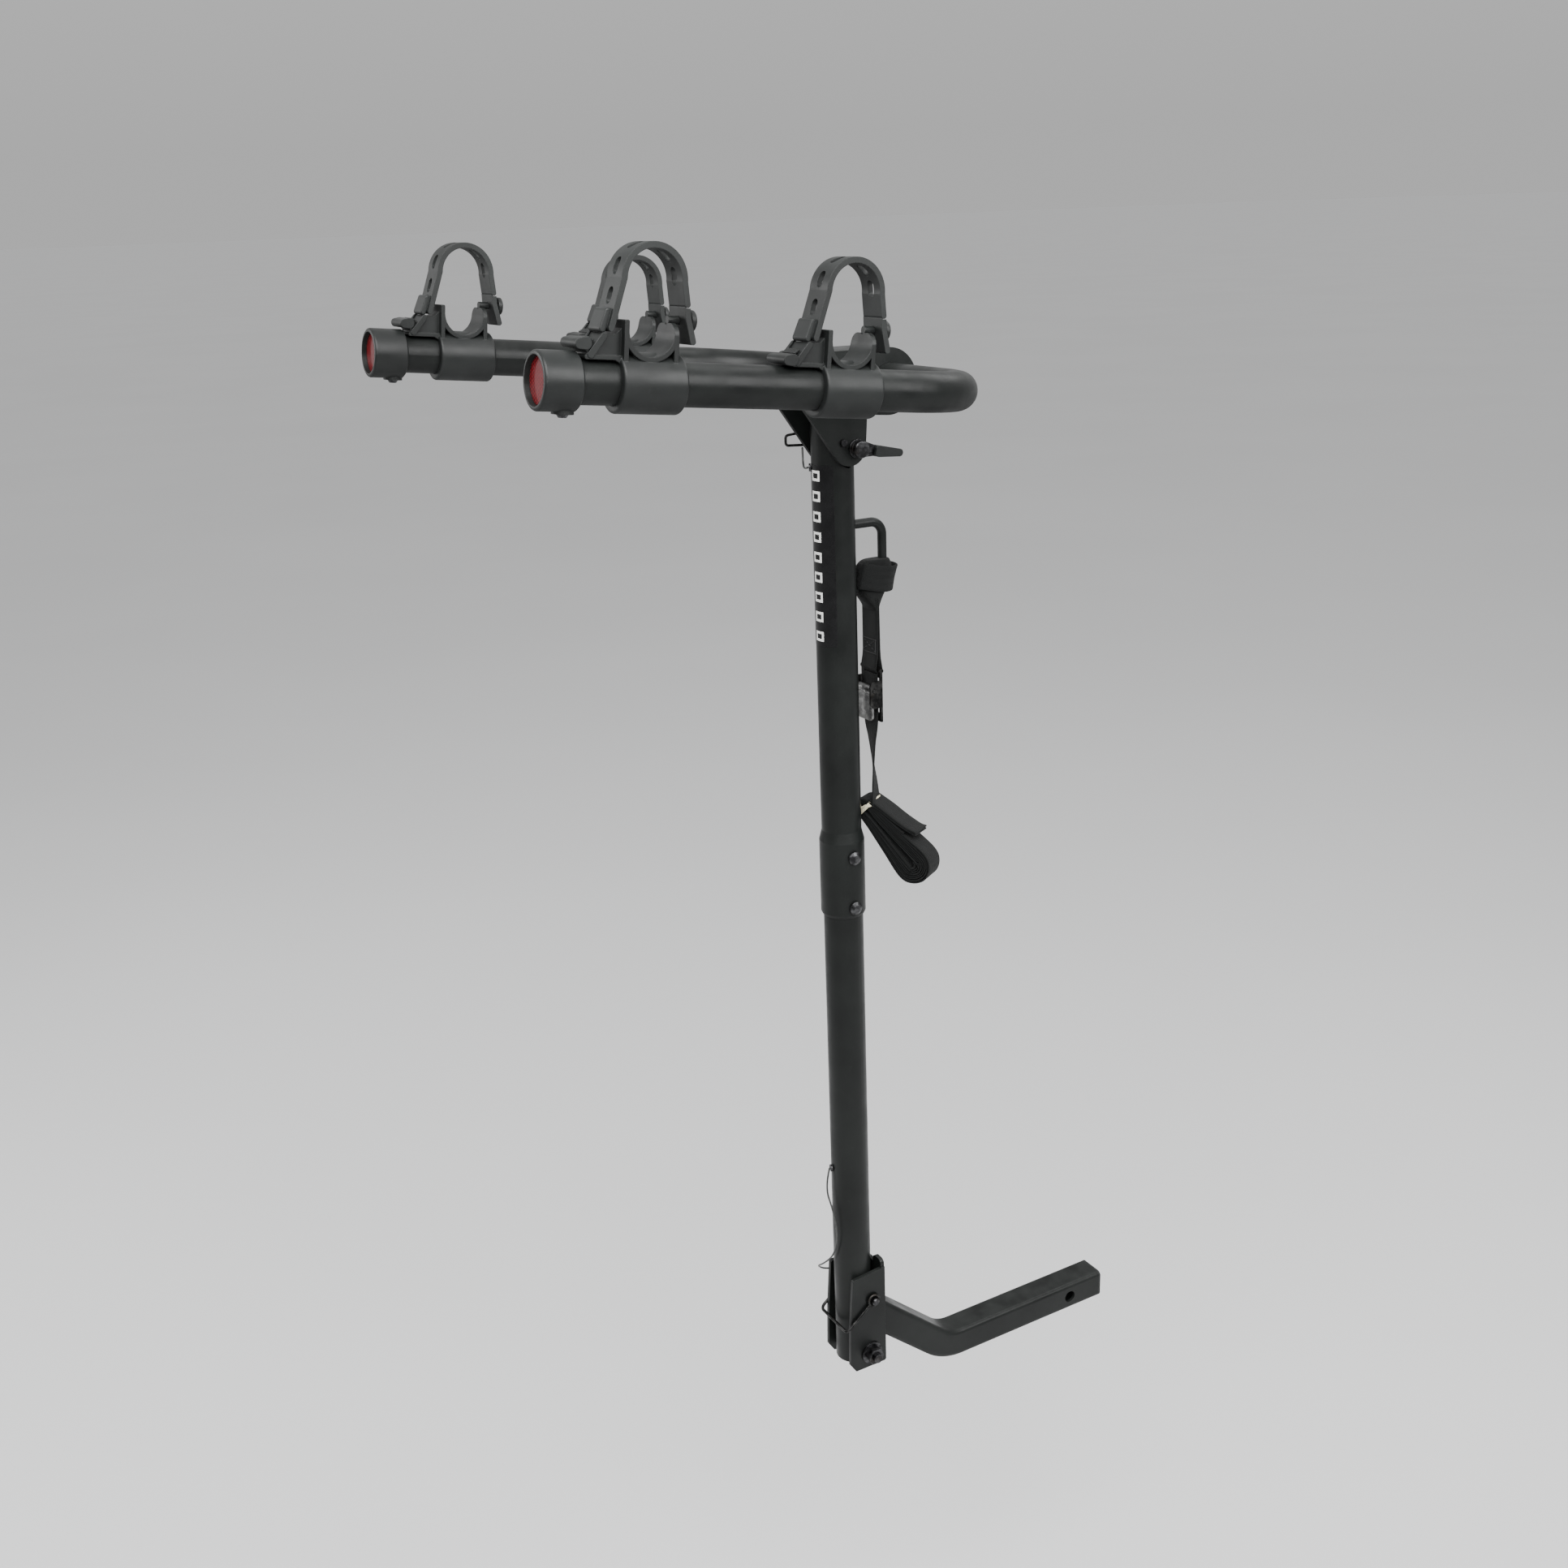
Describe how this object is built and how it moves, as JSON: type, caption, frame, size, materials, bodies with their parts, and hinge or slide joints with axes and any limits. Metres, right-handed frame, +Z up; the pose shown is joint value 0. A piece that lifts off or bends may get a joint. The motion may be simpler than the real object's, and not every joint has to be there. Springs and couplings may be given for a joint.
{
  "type": "hitch mounted bike rack",
  "caption": "Hitch mounted bike rack with a tilting mast, a folding hooped arm frame, rubber strapped cradles, a tie strap with a cam buckle and wire-retained lock pins.",
  "frame": {"origin": "centre of the hitch pin hole in the square tongue", "axes": "+X forward into the vehicle's receiver, +Y to the vehicle's left along the pin hole, +Z up along the upright mast"},
  "size_m": [0.6771, 0.4126, 1.1806],
  "materials": {
    "powder_coat": "satin powder coat, near black with a faint green cast",
    "zinc_steel": "dulled zinc plate",
    "dark_wire": "dark oxide spring wire",
    "black_plastic": "moulded, fine grain",
    "strap_rubber": "satin rubber",
    "black_webbing": "woven polyester webbing",
    "cream_elastic": "woven elastic",
    "red_reflector": "prismatic red lens",
    "label_film": "glossy black film",
    "coated_cable": "vinyl coated thin cable"
  },
  "bodies": {
    "hitch": {"hitch_tongue": "powder_coat", "tongue_end_plug": "black_plastic", "mast_bracket": "powder_coat", "mast_pivot_bolt": "zinc_steel", "mast_pivot_nut": "zinc_steel", "mast_pivot_washers": "zinc_steel"},
    "mast": {"lower_mast_tube": "powder_coat", "upper_mast_tube": "powder_coat", "mast_top_plug": "black_plastic", "mast_joint_bolts": "zinc_steel", "mast_joint_nuts": "zinc_steel", "lanyard_rivets": "zinc_steel", "mast_label": "label_film", "strap_hook": "powder_coat", "tie_strap_loop": "black_webbing", "tie_strap_upper": "black_webbing", "cam_buckle_frame": "zinc_steel", "cam_buckle_pin": "zinc_steel", "tie_strap_tail": "black_webbing", "tie_strap_bundle": "black_webbing", "bundle_band": "cream_elastic", "lower_lanyard": "coated_cable", "upper_lanyard": "coated_cable"},
    "mast_pin": {"mast_lock_pin": "zinc_steel"},
    "pin_bail": {"mast_pin_bail": "dark_wire"},
    "arms": {"arm_hoop": "powder_coat", "arm_bracket": "powder_coat", "arm_pivot_bolt": "zinc_steel", "arm_pivot_nut": "zinc_steel", "arm_end_caps": "black_plastic", "end_reflectors": "red_reflector", "cap_screws": "zinc_steel", "strap_buttons": "black_plastic", "cradle_right_outer": "black_plastic", "cradle_right_inner": "black_plastic", "cradle_left_outer": "black_plastic", "cradle_left_inner": "black_plastic", "strap_tail_right_outer": "strap_rubber", "strap_tail_right_inner": "strap_rubber", "strap_tail_left_outer": "strap_rubber", "strap_tail_left_inner": "strap_rubber"},
    "arm_pin": {"arm_lock_pin": "zinc_steel"},
    "pull_ring": {"arm_pin_ring": "dark_wire"},
    "arm_release": {"release_lever": "zinc_steel", "lever_grip": "black_plastic", "lever_spring": "zinc_steel"},
    "buckle_cam": {"cam_buckle_lever": "zinc_steel"},
    "strap_right_outer_loop": {"strap_right_outer": "strap_rubber"},
    "strap_right_inner_loop": {"strap_right_inner": "strap_rubber"},
    "strap_left_outer_loop": {"strap_left_outer": "strap_rubber"},
    "strap_left_inner_loop": {"strap_left_inner": "strap_rubber"}
  },
  "joints": [
    {"name": "mast_tilt", "type": "hinge", "parent": "hitch", "child": "mast", "pos_m": [-0.2733, 0, 0.043], "axis": [0, -1, 0], "range_deg": [0, 80], "deforming": ["lower_lanyard", "mast_pin_bail"]},
    {"name": "mast_pin_pull", "type": "slide", "parent": "hitch", "child": "mast_pin", "axis": [0, 1, 0], "range_m": [0, 0.08], "deforming": ["lower_lanyard", "mast_pin_bail"]},
    {"name": "bail_swing", "type": "hinge", "parent": "mast_pin", "child": "pin_bail", "pos_m": [-0.2706, 0, 0.107], "axis": [0, 1, 0], "range_deg": [0, 60]},
    {"name": "arms_fold", "type": "hinge", "parent": "mast", "child": "arms", "pos_m": [-0.2698, 0, 0.9822], "axis": [0, -1, 0], "range_deg": [0, 94], "deforming": ["upper_lanyard"]},
    {"name": "arm_pin_pull", "type": "slide", "parent": "arms", "child": "arm_pin", "axis": [0, 1, 0], "range_m": [0, 0.06], "deforming": ["upper_lanyard"]},
    {"name": "ring_swing", "type": "hinge", "parent": "arm_pin", "child": "pull_ring", "pos_m": [-0.2835, 0.0321, 0.9881], "axis": [0, 0, 1], "range_deg": [-100, 14]},
    {"name": "release_press", "type": "hinge", "parent": "arms", "child": "arm_release", "pos_m": [-0.2698, 0, 0.9822], "axis": [0, 1, 0], "range_deg": [0, 20], "stiffness_Nm_per_rad": 0.3, "springref_deg": -11.46, "deforming": ["lever_spring"]},
    {"name": "cam_open", "type": "hinge", "parent": "mast", "child": "buckle_cam", "pos_m": [-0.2504, 0, 0.757], "axis": [0, 1, 0], "range_deg": [0, 17], "stiffness_Nm_per_rad": 0.05, "springref_deg": -8.59},
    {"name": "strap_right_outer_open", "type": "hinge", "parent": "arms", "child": "strap_right_outer_loop", "pos_m": [-0.51681, -0.185, 1.12149], "axis": [0, 1, 0], "range_deg": [0, 85]},
    {"name": "strap_right_inner_open", "type": "hinge", "parent": "arms", "child": "strap_right_inner_loop", "pos_m": [-0.35369, -0.185, 1.10455], "axis": [0, 1, 0], "range_deg": [0, 85]},
    {"name": "strap_left_outer_open", "type": "hinge", "parent": "arms", "child": "strap_left_outer_loop", "pos_m": [-0.51681, 0.185, 1.12149], "axis": [0, 1, 0], "range_deg": [0, 85]},
    {"name": "strap_left_inner_open", "type": "hinge", "parent": "arms", "child": "strap_left_inner_loop", "pos_m": [-0.35369, 0.185, 1.10455], "axis": [0, 1, 0], "range_deg": [0, 85]}
  ]
}
